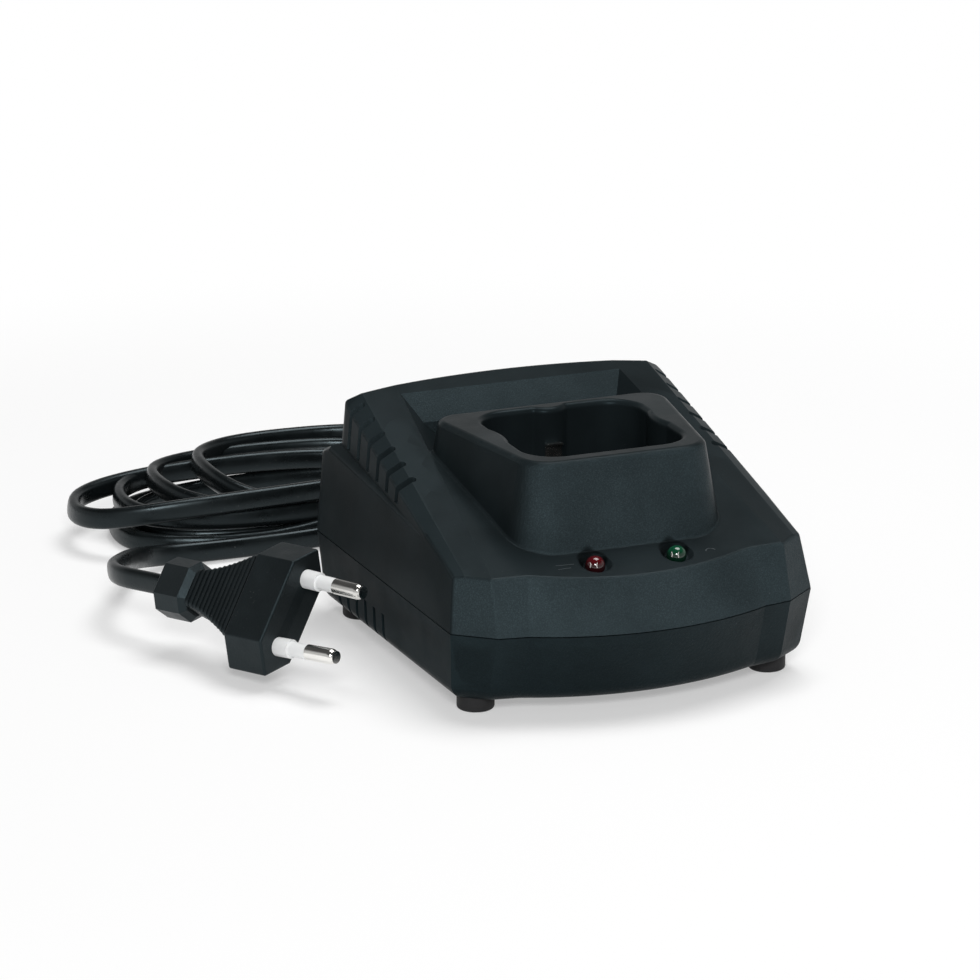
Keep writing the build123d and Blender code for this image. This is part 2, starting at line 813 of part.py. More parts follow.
# ---- lower shell ----
lower = lower_block() - lower_block(wall)
lower -= seam_ring(-wall, seam_recess, seam_height - seam_gap, seam_height + wall)
lip = seam_ring(wall + fit_gap, wall + lip_thickness, seam_height, seam_height + lip_height)
lip = lip & case_block(wall + fit_gap, 0.0)
lower += lip + seam_ring(wall / 2 + fit_gap, wall + lip_thickness, seam_height - lip_height, seam_height)
for post in bosses(screw_spots, foot_height, post_top, post_diameter):
    lower += post & lower_block(wall / 2)
seat_height = foot_height + screw_seat_depth
for spot in screw_spots:
    lower += rod(*spot, foot_height + wall / 2, seat_height + wall, post_diameter + wall)
    lower -= rod(*spot, 0, seat_height, screw_head_diameter + 2 * fit_gap)
    lower -= rod(*spot, 0, post_top, screw_hole_diameter)
foot_spots = [(side * foot_x, y) for side in (-1, 1) for y in (foot_front_y, foot_back_y)]
for spot in foot_spots:
    lower -= rod(*spot, 0, foot_height + foot_recess, foot_diameter)
    lower -= rod(*spot, 0, foot_height + 2 * wall, foot_stem_diameter)
board_spots = [(side * board_post_x, y) for side in (-1, 1) for y in (board_post_front_y, board_post_back_y)]
for spot in board_spots:
    lower += rod(*spot, foot_height + wall / 2, board_height, board_post_diameter)
    lower -= rod(*spot, foot_height + wall, board_height, small_screw_diameter)
for slot in low_slots():
    lower = lower - slot - mirrored(slot)
lower -= lengthwise(gland_hole_diameter, back_y - gland_reach, back_y + wall, gland_x, gland_height)
save("lower_shell", lower)

# ---- feet and case screws ----
for index, spot in enumerate(foot_spots):
    foot = rod(*spot, 0, foot_height + foot_recess, foot_diameter)
    foot = fillet(foot.edges().group_by(Axis.Z)[0], foot_round)
    foot += rod(*spot, foot_height, foot_height + foot_stem_length, foot_stem_diameter)
    save("rubber_foot_" + str(index + 1), foot)
screws = []
for x, y in screw_spots:
    screw = rod(x, y, seat_height - screw_head_height, seat_height, screw_head_diameter)
    screw = fillet(screw.edges().group_by(Axis.Z)[0], screw_head_round)
    screw += rod(x, y, seat_height, post_top + pilot_depth - wall, screw_diameter)
    cross = Box(screw_slot_length, screw_slot_width, screw_head_height)
    cross += Box(screw_slot_width, screw_slot_length, screw_head_height)
    screws.append(screw - Pos(x, y, seat_height - screw_head_height) * cross)
save("case_screws", Compound(children=screws))

# ---- indicator lamps on their small board ----
for name, side in (("lamp_red", -1), ("lamp_green", 1)):
    plane = on_deck(side * lamp_x, lamp_y, lamp_board_depth)
    body_length = lamp_length - lamp_diameter / 2
    lamp = Pos(0, 0, body_length / 2) * Cylinder(lamp_diameter / 2, body_length)
    lamp += Pos(0, 0, body_length) * Sphere(lamp_diameter / 2)
    lamp += Pos(0, 0, lamp_flange_thickness / 2) * Cylinder(lamp_flange_diameter / 2, lamp_flange_thickness)
    save(name, plane * lamp)
lamp_board = Box(lamp_board_length, lamp_board_width, lamp_board_thickness)
lamp_board = on_deck(0, lamp_y, lamp_board_depth + lamp_board_thickness / 2) * lamp_board
lamp_screws = []
for side in (-1, 1):
    plane = on_deck(side * lamp_boss_x, lamp_y, lamp_board_depth)
    lamp_board -= plane * Cylinder(small_screw_diameter / 2, 3 * lamp_board_thickness)
    shank_length = lamp_board_thickness + small_screw_grip
    shank = Cylinder(small_screw_diameter / 2, shank_length)
    screw = Pos(0, 0, shank_length / 2 - lamp_board_thickness) * shank
    head = Cylinder(small_head_diameter / 2, small_head_height)
    screw += Pos(0, 0, -lamp_board_thickness - small_head_height / 2) * head
    lamp_screws.append(plane * screw)
save("lamp_board", lamp_board)
save("lamp_board_screws", Compound(children=lamp_screws))

# ---- circuit board and its screws ----
board_top = board_height + board_thickness
board = block(-board_half, board_half, board_front, board_back, board_height, board_top)
board = chamfer(board.edges().filter_by(Axis.Z), board_corner)
board_screws = []
for spot in board_spots:
    board -= rod(*spot, board_height, board_top, small_screw_diameter)
    screw = rod(*spot, board_top - board_thickness - small_screw_grip, board_top, small_screw_diameter)
    board_screws.append(screw + rod(*spot, board_top, board_top + small_head_height, small_head_diameter))
save("circuit_board", board)
save("board_screws", Compound(children=board_screws))


def on_board(x, y, width, depth, height):
    """Box standing on the circuit board."""
    return block(x - width / 2, x + width / 2, y - depth / 2, y + depth / 2, board_top, board_top + height)


# ---- transformer ----
core_low = board_top + transformer_base
core_box = block(
    transformer_x - transformer_width / 2, transformer_x + transformer_width / 2,
    transformer_y - transformer_depth / 2, transformer_y + transformer_depth / 2,
    core_low, core_low + transformer_height,
)
leg = transformer_width / 4
window_width = transformer_width / 4
window_top = core_low + transformer_height - leg / 2
transformer_core = core_box
for side in (-1, 1):
    window_x_middle = transformer_x + side * (leg / 2 + window_width / 2)
    transformer_core -= block(
        window_x_middle - window_width / 2, window_x_middle + window_width / 2,
        transformer_y - transformer_depth, transformer_y + transformer_depth,
        core_low + leg / 2, window_top)
winding_depth = transformer_depth / 2 + window_width
winding = block(transformer_x - leg / 2 - window_width, transformer_x + leg / 2 + window_width,
                transformer_y - winding_depth, transformer_y + winding_depth, core_low + leg / 2, window_top)
winding = fillet(winding.edges().filter_by(Axis.Z), winding_round)
winding -= block(transformer_x - leg / 2, transformer_x + leg / 2, transformer_y - transformer_depth / 2,
                 transformer_y + transformer_depth / 2, core_low, core_low + transformer_height)
bobbin = on_board(transformer_x, transformer_y, transformer_width, 2 * winding_depth, transformer_base)
save("transformer_core", transformer_core)
save("transformer_winding", winding - transformer_core)
save("transformer_base", bobbin)

# ---- other components on the board ----
bulk = rod(bulk_x, bulk_y, board_top, board_top + bulk_height, bulk_diameter)
crimp = ring(2 * bulk_diameter, bulk_diameter - can_groove, can_groove)
bulk -= Pos(bulk_x, bulk_y, board_top + bulk_height - can_groove_drop - can_groove / 2) * crimp
save("bulk_capacitor", bulk)
cans = []
for index in range(output_can_count):
    y = output_can_y + index * output_can_pitch
    cans.append(rod(output_can_x, y, board_top, board_top + output_can_height, output_can_diameter))
save("output_capacitors", Compound(children=cans))
film = on_board(film_x, film_y, film_width, film_depth, film_height)
save("filter_capacitor", fillet(film.edges().group_by(Axis.Z)[-1], component_round))
choke = Rot(0, 90, 0) * ring(choke_diameter, choke_hole, choke_width, -choke_width / 2)
save("mains_choke", Pos(choke_x, choke_y, board_top + choke_diameter / 2) * choke)
fuse_half = fuse_length / 2
fuse = lengthwise(fuse_diameter, fuse_y - fuse_half, fuse_y + fuse_half, fuse_x, board_top + fuse_rise)
save("fuse", fuse)
clips = []
for side in (-1, 1):
    clip_y = fuse_y + side * clip_offset
    clip = on_board(fuse_x, clip_y, fuse_diameter + 2 * clip_wall, clip_length, fuse_rise + clip_wall)
    clips.append(clip - fuse)
save("fuse_clips", Compound(children=clips))
save("bridge_rectifier", on_board(bridge_x, bridge_y, bridge_width, bridge_depth, bridge_height))
save("heat_sink", on_board(sink_x, sink_y, sink_thickness, sink_length, sink_height))
transistor_x = sink_x + sink_thickness / 2 + transistor_thickness / 2
transistor = on_board(transistor_x, sink_y, transistor_thickness, transistor_width, transistor_height)
save("power_transistor", transistor)
save("control_chip", on_board(chip_x, chip_y, chip_width, chip_depth, chip_height))
save("optocoupler", on_board(opto_x, opto_y, opto_width, opto_depth, opto_height))

# ---- battery contacts ----
contact = on_board(0, contact_y, contact_width, contact_depth, contact_height)
blades = []
for index in range(blade_count):
    x = (index - (blade_count - 1) / 2) * blade_pitch
    blades.append(block(x - blade_thickness / 2, x + blade_thickness / 2, contact_y - blade_depth / 2,
                        contact_y + blade_depth / 2, board_top + contact_height / 2, board_top + blade_top))
for blade in blades:
    contact -= blade
save("contact_block", contact)
save("contact_blades", Compound(children=blades))
strip_back = well_front + well_depth - back_bump_depth
strip_half = strip_contact_width / 2
strip = block(-strip_half, strip_half, strip_back - strip_contact_thickness, strip_back,
              well_floor_height, strip_contact_top)
strip += block(-strip_half, strip_half, strip_back - strip_contact_hook, strip_back,
               strip_contact_top - strip_contact_thickness, strip_contact_top)
save("contact_strip", strip)

# ---- mains lead at the case ----
boot_start = back_y - gland_reach
boot_end = back_y + boot_length - wall
boot_cone = Cone(boot_tip_diameter / 2, boot_base_diameter / 2, boot_end - back_y + wall)
boot = Pos(gland_x, (back_y - wall + boot_end) / 2, gland_height) * Rot(90, 0, 0) * boot_cone
for index in range(boot_groove_count):
    groove_y = boot_end - boot_groove_pitch * (index + 1)
    groove_half = boot_groove_width / 2
    groove = lengthwise(boot_base_diameter + wall, groove_y - groove_half, groove_y + groove_half)
    groove_bottom = boot_tip_diameter - boot_groove_depth + index * boot_groove_step
    groove -= lengthwise(groove_bottom, groove_y - wall, groove_y + wall)
    boot -= Pos(gland_x, 0, gland_height) * groove
boot -= lower_block()
shell_wall = lower_block() - lower_block(wall)
boot += lengthwise(gland_hole_diameter, boot_start, back_y + wall, gland_x, gland_height) & shell_wall
flange = lengthwise(gland_flange_diameter, boot_start, back_y, gland_x, gland_height) & lower_block(wall)
boot += flange
boot -= lengthwise(cord_width, boot_start - wall, boot_end + wall, gland_x, gland_height)
save("cord_boot", boot)

exit_y = boot_end
tail_points = [
    (gland_x, exit_y - tail_overlap, gland_height),
    (gland_x, exit_y + tail_turn, gland_height),
    (gland_x - tail_diagonal, exit_y + tail_turn + tail_diagonal, gland_height - tail_fall / 2),
    (gland_x - tail_diagonal - tail_last_run, exit_y + tail_turn + tail_diagonal, gland_height - tail_fall),
]
tail, tail_radii, tail_length = tube(tail_points, cord_width)
sheath_end = boot_start - sheath_length
save("cord_inlet", lengthwise(cord_width, sheath_end, exit_y - tail_overlap, gland_x, gland_height))
save("cord_tail", tail)
cores = []
for side in (-1, 1):
    x = gland_x + side * core_pitch / 2
    points = [
        (x, sheath_end, gland_height),
        (x, sheath_end - core_run, gland_height),
        (x + core_sweep, sheath_end - 2 * core_run, gland_height),
        (x + core_sweep, sheath_end - 3 * core_run, board_top + core_diameter / 2),
    ]
    cores.append(tube(points, core_diameter)[0])
save("mains_core_left", cores[0])
save("mains_core_right", cores[1])

# ---- coil of spare cord and the lead to the plug ----
coil_face = Ellipse(coil_half_length, coil_half_depth)
coil_face -= Ellipse(coil_half_length - coil_band, coil_half_depth - coil_band)
coil = Pos(*coil_centre) * extrude(coil_face, coil_height)
coil = fillet(coil.edges(), coil_round)
plug_heading_vector = Vector(*plug_heading).normalized()
plug_back = plug_block + neck_length + relief_length - neck_overlap
plug_end = Vector(*plug_face) - plug_heading_vector * plug_back
bend_point = plug_end - plug_heading_vector * lead_straight
coil_point = Vector(coil_centre[0] + lead_join_x, coil_centre[1] + lead_join_y, cord_width / 2 + seam_gap)
middle_point = (bend_point + coil_point) / 2 + Vector(-lead_bow, lead_bow, 0)
lead_points = [plug_end, bend_point, middle_point, coil_point]
lead, lead_radii, lead_length = tube(lead_points, cord_width)
save("cord_coil", coil)
save("cord_lead", lead)

# ---- plug ----
plug_plane = Plane(origin=Vector(*plug_face), x_dir=plug_across, z_dir=plug_heading_vector)
half_plug = plug_width / 2
half_flat = plug_flat / 2
half_thick = plug_thickness / 2
hexagon = Polyline([
    (half_plug, 0), (half_flat, half_thick), (-half_flat, half_thick),
    (-half_plug, 0), (-half_flat, -half_thick), (half_flat, -half_thick),
], close=True)
plug_body = Pos(0, 0, -plug_block) * extrude(make_face(hexagon), plug_block)
plug_body = fillet(plug_body.edges(), plug_round)
neck_slice = neck_length / neck_rib_count
neck = []
for index in range(neck_rib_count + 1):
    share = index / neck_rib_count
    narrowing = (1 - share) ** neck_curve
    width = neck_end_width + (plug_flat - neck_end_width) * narrowing
    thickness = neck_end_thickness + (plug_thickness - neck_end_thickness) * narrowing
    rib_z = -plug_block - share * neck_length
    rib = RectangleRounded(width, thickness, neck_round)
    neck.append(Pos(0, 0, rib_z - neck_rib_width) * extrude(rib, neck_rib_width))
    waist = RectangleRounded(width - neck_rib_depth, thickness - neck_rib_depth, neck_round / 2)
    neck.append(Pos(0, 0, rib_z - neck_slice) * extrude(waist, neck_slice))
relief_top = -plug_block - neck_length + neck_overlap
relief = Pos(0, 0, relief_top - relief_length / 2) * Box(relief_width, relief_thickness, relief_length)
relief = chamfer(relief.edges().filter_by(Axis.Z), relief_corner)
relief_ends = relief.edges().group_by(Axis.Z)[0] + relief.edges().group_by(Axis.Z)[-1]
relief = chamfer(relief_ends, relief_chamfer)
pins = []
sleeves = []
toe_in = degrees(atan2((pin_spacing_base - pin_spacing_tip) / 2, pin_length))
tip_length = pin_length - sleeve_length
pin_core_length = pin_length + pin_root_depth
for side in (-1, 1):
    turn = Pos(side * pin_spacing_base / 2, 0, 0) * Rot(0, -side * toe_in, 0)
    pin = Pos(0, 0, pin_core_length / 2 - pin_root_depth) * Cylinder(pin_core_diameter / 2, pin_core_length)
    tip = Pos(0, 0, sleeve_length + tip_length / 2) * Cylinder(pin_diameter / 2, tip_length)
    pin += fillet(tip.edges().group_by(Axis.Z)[-1], pin_tip_round)
    sleeve = ring(sleeve_base_diameter, pin_core_diameter, sleeve_base_length)
    sleeve += ring(sleeve_diameter, pin_core_diameter, sleeve_length)
    plug_body = plug_body - turn * pin - turn * sleeve
    pins.append(plug_plane * turn * pin)
    sleeves.append(plug_plane * turn * sleeve)
save("plug_body", plug_plane * plug_body)
save("plug_neck", plug_plane * (neck[0].fuse(*neck[1:]) - relief))
save("plug_strain_relief", plug_plane * relief)
save("plug_pins", Compound(children=pins))
save("plug_pin_sleeves", Compound(children=sleeves))

print("cord tail radii", [round(r, 1) for r in tail_radii], "length", round(tail_length, 1))
print("cord lead radii", [round(r, 1) for r in lead_radii], "length", round(lead_length, 1))
section_area = pi * cord_width ** 2 / 4
print("tube volumes against section times length", round(tail.volume / (section_area * tail_length), 3),
      round(lead.volume / (section_area * lead_length), 3))
whole = Compound(children=list(pieces.values())).bounding_box()
print("pieces", len(pieces), "size", whole.size)
for name, piece in pieces.items():
    lowest = piece.bounding_box().min.Z
    print(name, piece.is_valid, len(piece.solids()), round(piece.volume, 1), round(lowest, 2))
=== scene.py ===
import math
import random

import bmesh
import bpy
from mathutils import Matrix, Vector


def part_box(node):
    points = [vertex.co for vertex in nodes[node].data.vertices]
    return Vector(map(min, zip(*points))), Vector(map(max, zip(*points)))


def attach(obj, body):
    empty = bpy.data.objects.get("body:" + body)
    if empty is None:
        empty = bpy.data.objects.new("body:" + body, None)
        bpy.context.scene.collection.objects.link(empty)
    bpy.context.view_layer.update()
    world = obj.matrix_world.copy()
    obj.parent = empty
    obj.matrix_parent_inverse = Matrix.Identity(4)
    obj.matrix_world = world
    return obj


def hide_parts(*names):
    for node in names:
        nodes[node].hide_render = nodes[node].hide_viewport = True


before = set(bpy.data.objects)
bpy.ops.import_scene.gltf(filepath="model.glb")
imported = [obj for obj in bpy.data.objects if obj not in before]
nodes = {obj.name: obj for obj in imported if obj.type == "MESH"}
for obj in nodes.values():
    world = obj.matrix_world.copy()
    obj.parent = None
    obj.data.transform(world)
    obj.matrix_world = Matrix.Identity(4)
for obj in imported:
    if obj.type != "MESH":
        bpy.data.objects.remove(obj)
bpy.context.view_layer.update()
mm = 0.001
print("frame loaded with", len(nodes), "nodes")

# camera
camera = {
    "place": (-0.56834, -1.32245, 0.48792),
    "aim": (-0.035561, -0.0345, 0.055387),
    "lens": 220.41,
    "sensor": 36.0,
    "clip": (0.05, 50.0),
}


def addCamera():
    data = bpy.data.cameras.new("camera")
    data.lens = camera["lens"]
    data.sensor_width = camera["sensor"]
    data.clip_start = camera["clip"][0]
    data.clip_end = camera["clip"][1]
    eye = bpy.data.objects.new("camera", data)
    bpy.context.scene.collection.objects.link(eye)
    eye.location = camera["place"]
    view = Vector(camera["aim"]) - eye.location
    eye.rotation_mode = "QUATERNION"
    eye.rotation_quaternion = view.to_track_quat("-Z", "Y")
    bpy.context.scene.camera = eye


addCamera()
bpy.context.scene.view_settings.view_transform = "Standard"
print("camera set")


# small helpers for node trees and meshes
def startMaterial(name):
    material = bpy.data.materials.new(name)
    material.use_nodes = True
    tree = material.node_tree
    tree.nodes.clear()
    output = tree.nodes.new("ShaderNodeOutputMaterial")
    return material, tree, output


def addNode(tree, kind, settings=None, **inputs):
    # an input is named by its socket, or by the letter n and its number
    node = tree.nodes.new(kind)
    for key, value in (settings or {}).items():
        setattr(node, key, value)
    for key, value in inputs.items():
        numbered = key[0] == "n" and key[1:].isdigit()
        socket = node.inputs[int(key[1:])] if numbered else node.inputs[key.replace("_", " ")]
        if isinstance(value, bpy.types.NodeSocket):
            tree.links.new(value, socket)
        else:
            socket.default_value = value
    return node


def ramp(tree, value, low, high, toLow=0.0, toHigh=1.0):
    node = addNode(tree, "ShaderNodeMapRange", {"interpolation_type": "SMOOTHSTEP"}, Value=value)
    node.inputs["From Min"].default_value = low
    node.inputs["From Max"].default_value = high
    node.inputs["To Min"].default_value = toLow
    node.inputs["To Max"].default_value = toHigh
    return node.outputs["Result"]


def blendColour(tree, share, first, second):
    node = addNode(tree, "ShaderNodeMix", {"data_type": "RGBA"})
    for socket, value in zip((node.inputs[0], node.inputs[6], node.inputs[7]), (share, first, second)):
        if isinstance(value, bpy.types.NodeSocket):
            tree.links.new(value, socket)
        else:
            socket.default_value = value
    return node.outputs[2]


def calculate(tree, operation, first, second=0.5):
    return addNode(tree, "ShaderNodeMath", {"operation": operation}, n0=first, n1=second).outputs[0]


def noise(tree, place, scale, detail=2.0, roughness=0.5):
    node = addNode(tree, "ShaderNodeTexNoise", None, Vector=place, Scale=scale, Detail=detail,
                   Roughness=roughness)
    return node.outputs[0]


def objectPlace(tree):
    return addNode(tree, "ShaderNodeTexCoord").outputs["Object"]


def scaled(colour, gain):
    return (*[share * gain for share in colour], 1.0)


def crownOf(node):
    # the top of a node, above the middle of its box
    low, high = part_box(node)
    return ((low.x + high.x) / 2, (low.y + high.y) / 2, high.z)


def paint(thing, material):
    slots = thing.data.materials
    for index in range(len(slots)):
        slots[index] = material
    if not slots:
        slots.append(material)


def finishMesh(name, mesh, smooth=True):
    bmesh.ops.recalc_face_normals(mesh, faces=mesh.faces)
    data = bpy.data.meshes.new(name)
    mesh.to_mesh(data)
    mesh.free()
    for face in data.polygons:
        face.use_smooth = smooth
    thing = bpy.data.objects.new(name, data)
    bpy.context.scene.collection.objects.link(thing)
    return thing


# a plain moulded or metal finish: grain, cloudy gloss, worn edges and a little dust
finishLook = {
    # scales are noise cells per metre, ranges are the part of the noise that shows
    "cloudScale": 60.0,
    "cloudRange": (0.35, 0.65),
    "glossScale": 140.0,
    "glossRange": (0.3, 0.7),
    "dustScale": 2600.0,
    "dustRange": (0.74, 0.8),
    "patchScale": 25.0,
    "patchRange": (0.45, 0.75),
    "dustColour": (0.5, 0.5, 0.48, 1.0),
    "edgeWearAndHighlightRange": (0.52, 0.6),
    "wornAndHighlightGain": 2.2,
    "wornLift": 0.01,
    "wornSmooth": 0.12,
}


def makeFinish(name, colour, roughness, metallic=0.0, grain=900.0, depth=0.00002, cloud=0.08,
               tint=0.15, edgeWearAndHighlight=0.0, dust=0.0, coat=0.0, specular=0.5, sheen=(1, 1, 1), stretch=(1, 1, 1)):
    look = finishLook
    material, tree, output = startMaterial(name)
    place = objectPlace(tree)
    if stretch != (1, 1, 1):
        place = addNode(tree, "ShaderNodeMapping", None, Vector=place, Scale=stretch).outputs[0]
    fine = noise(tree, place, grain, 3.0)
    broad = noise(tree, place, look["cloudScale"], 4.0)
    dark = scaled(colour, 1 - tint)
    pale = scaled(colour, 1 + tint)
    mixed = blendColour(tree, ramp(tree, broad, *look["cloudRange"]), dark, pale)
    if dust:
        spots = ramp(tree, noise(tree, place, look["dustScale"], 1.0), *look["dustRange"])
        patch = ramp(tree, noise(tree, place, look["patchScale"], 2.0), *look["patchRange"])
        lint = calculate(tree, "MULTIPLY", calculate(tree, "MULTIPLY", spots, patch), dust)
        mixed = blendColour(tree, lint, mixed, look["dustColour"])
    gloss = noise(tree, place, look["glossScale"], 3.0)
    rough = ramp(tree, gloss, *look["glossRange"], roughness - cloud, roughness + cloud)
    if edgeWearAndHighlight:
        edge = addNode(tree, "ShaderNodeNewGeometry").outputs["Pointiness"]
        worn = calculate(tree, "MULTIPLY", ramp(tree, edge, *look["edgeWearAndHighlightRange"]), edgeWearAndHighlight)
        rubbed = (*[min(1.0, share * look["wornAndHighlightGain"] + look["wornLift"]) for share in colour], 1.0)
        mixed = blendColour(tree, worn, mixed, rubbed)
        rough = calculate(tree, "SUBTRACT", rough, calculate(tree, "MULTIPLY", worn, look["wornSmooth"]))
    bump = addNode(tree, "ShaderNodeBump", None, Height=fine, Strength=1.0, Distance=depth)
    shader = addNode(tree, "ShaderNodeBsdfPrincipled", None, Base_Color=mixed, Metallic=metallic,
                     Roughness=rough, Normal=bump.outputs[0])
    shader.inputs["Specular IOR Level"].default_value = specular
    shader.inputs["Specular Tint"].default_value = (*sheen, 1.0)
    shader.inputs["Coat Weight"].default_value = coat
    tree.links.new(shader.outputs[0], output.inputs["Surface"])
    return material


# the case: satin on the rails and deck, spark-eroded grain on the tower, the front and the rear pocket, these
# front-facing eroded faces painted paler as painted light
shellLook = {
    "colour": (0.0105, 0.0148, 0.0165),
    "sheen": (0.62, 0.9, 1.0),
    "specular": 0.08,
    # the sides, facing left and right, are duller
    "flank": (0.82, 0.96),
    "flankSpecular": 0.015,
    # eroded faces point this far to the front, and lie ahead of one line or behind the other, in metres
    "toFront": (-0.38, -0.8),
    "frontLine": (-0.027, -0.031),
    "pocketLine": (0.022, 0.026),
    # painted light: the front-facing eroded faces are painted paler by the next factor, and their brightest
    # grain specks paler again by the share after it, as painted glints
    "erodedPaintedLight": 2.3,
    "paintedSparkle": 0.35,
    "speckRange": (0.4, 0.72),
    # painted shade: the dishes around the lamps, within these distances of each lamp's crown in metres, are
    # painted darker, down to this share of their colour
    "dish": (0.0038, 0.0044),
    "dishShade": 0.12,
    "satin": 0.33,
    "eroded": 0.46,
    "satinDepth": 0.000012,
    "erodedDepth": 0.00009,
    "grain": 3200.0,
    "coarseShare": 0.35,
    "coarseGain": 0.8,
    "tint": 0.15,
    "cloudScale": 45.0,
    "cloudRange": (0.35, 0.65),
    "glossScale": 120.0,
    "glossRange": (0.3, 0.7),
    "gloss": 0.035,
    # painted highlight along the edges, partly wear: edges painted paler by pointiness
    "edgeWearAndHighlight": 0.3,
    "edgeWearAndHighlightRange": (0.515, 0.58),
    "wornAndHighlightGain": 2.4,
    "dust": 0.25,
    "dustScale": 2300.0,
    "dustRange": (0.76, 0.82),
    "patchScale": 22.0,
    "patchRange": (0.45, 0.75),
    "dustColour": (0.35, 0.36, 0.36, 1.0),
}


def makeShell(name, look):
    material, tree, output = startMaterial(name)
    place = objectPlace(tree)
    y = addNode(tree, "ShaderNodeSeparateXYZ", None, Vector=place).outputs[1]
    surface = addNode(tree, "ShaderNodeNewGeometry")
    facing = addNode(tree, "ShaderNodeSeparateXYZ", None, Vector=surface.outputs["True Normal"])
    toFront = ramp(tree, facing.outputs[1], *look["toFront"])
    front = calculate(tree, "MULTIPLY", ramp(tree, y, *look["frontLine"]), toFront)
    pocket = calculate(tree, "MULTIPLY", ramp(tree, y, *look["pocketLine"]), toFront)
    eroded = calculate(tree, "MAXIMUM", front, pocket)
    fine = noise(tree, place, look["grain"], 4.0, 0.6)
    coarse = noise(tree, place, look["grain"] * look["coarseShare"], 3.0)
    height = calculate(tree, "ADD", fine, calculate(tree, "MULTIPLY", coarse, look["coarseGain"]))
    distance = ramp(tree, eroded, 0.0, 1.0, look["satinDepth"], look["erodedDepth"])
    bump = addNode(tree, "ShaderNodeBump", None, Height=height, Strength=1.0, Distance=distance)
    gloss = noise(tree, place, look["glossScale"], 3.0)
    cloud = ramp(tree, gloss, *look["glossRange"], -look["gloss"], look["gloss"])
    rough = calculate(tree, "ADD", ramp(tree, eroded, 0.0, 1.0, look["satin"], look["eroded"]), cloud)
    broad = noise(tree, place, look["cloudScale"], 4.0)
    dark = scaled(look["colour"], 1 - look["tint"])
    pale = scaled(look["colour"], 1 + look["tint"])
    mixed = blendColour(tree, ramp(tree, broad, *look["cloudRange"]), dark, pale)
    # grain specks on the eroded faces, the bright ones painted glints, then those front-facing faces painted
    # paler as painted light
    speck = ramp(tree, fine, *look["speckRange"], 1 - look["paintedSparkle"] / 2, 1 + look["paintedSparkle"])
    bright = calculate(tree, "SUBTRACT", calculate(tree, "MULTIPLY", speck, look["erodedPaintedLight"]), 1.0)
    gain = calculate(tree, "ADD", 1.0, calculate(tree, "MULTIPLY", eroded, bright))
    # painted shade in the recessed dishes around the two lamps
    for node in ("lamp_red", "lamp_green"):
        away = addNode(tree, "ShaderNodeVectorMath", {"operation": "DISTANCE"}, n0=place, n1=crownOf(node))
        shade = ramp(tree, away.outputs["Value"], *look["dish"], look["dishShade"], 1.0)
        gain = calculate(tree, "MULTIPLY", gain, shade)
    mixed = addNode(tree, "ShaderNodeVectorMath", {"operation": "SCALE"}, n0=mixed, Scale=gain).outputs[0]
    # pointy edges painted paler: partly wear, partly painted edge highlight
    edge = ramp(tree, surface.outputs["Pointiness"], *look["edgeWearAndHighlightRange"])
    edge = calculate(tree, "MULTIPLY", edge, look["edgeWearAndHighlight"])
    mixed = blendColour(tree, edge, mixed, scaled(look["colour"], look["wornAndHighlightGain"]))
    spots = ramp(tree, noise(tree, place, look["dustScale"], 1.0), *look["dustRange"])
    patch = ramp(tree, noise(tree, place, look["patchScale"], 2.0), *look["patchRange"])
    lint = calculate(tree, "MULTIPLY", calculate(tree, "MULTIPLY", spots, patch), look["dust"])
    mixed = blendColour(tree, lint, mixed, look["dustColour"])
    aside = calculate(tree, "ABSOLUTE", facing.outputs[0])
    shine = ramp(tree, aside, *look["flank"], look["specular"], look["flankSpecular"])
    shader = addNode(tree, "ShaderNodeBsdfPrincipled", None, Base_Color=mixed, Roughness=rough,
                     Normal=bump.outputs[0], Specular_IOR_Level=shine)
    shader.inputs["Specular Tint"].default_value = (*look["sheen"], 1.0)
    tree.links.new(shader.outputs[0], output.inputs["Surface"])
    return material


# lamp domes: deep colour, painted darker at the rim than at the up-facing crown as painted shade, with two
# leads showing through, painted bright as a painted glint
lampLook = {
    "red": (0.085, 0.002, 0.005),
    "green": (0.003, 0.07, 0.03),
    # painted shade: where the dome faces sideways it is painted down to this share of its colour
    "rim": 0.25,
    "rimRange": (0.1, 0.9),
    "swirlScale": 420.0,
    "swirlRange": (0.35, 0.65),
    "swirlDark": 0.8,
    "glossScale": 900.0,
    "glossRange": (0.3, 0.7),
    "roughness": (0.07, 0.12),
    "coat": 0.4,
    "coatRoughness": 0.03,
    # two bent leads, painted bright on the dome's surface as a painted glint: how far each lies from the
    # middle, along the level direction "leadAcross"
    "leadAcross": (0.93, -0.37, 0.0),
    "leadGap": 0.00068,
    "leadHalf": 0.00014,
    "leadBend": 0.0008,
    "leadWaist": 0.34,
    "leadFoot": (0.02, 0.14),
    "leadTop": (0.62, 0.5),
    "lead": (0.62, 0.6, 0.58, 1.0),
}


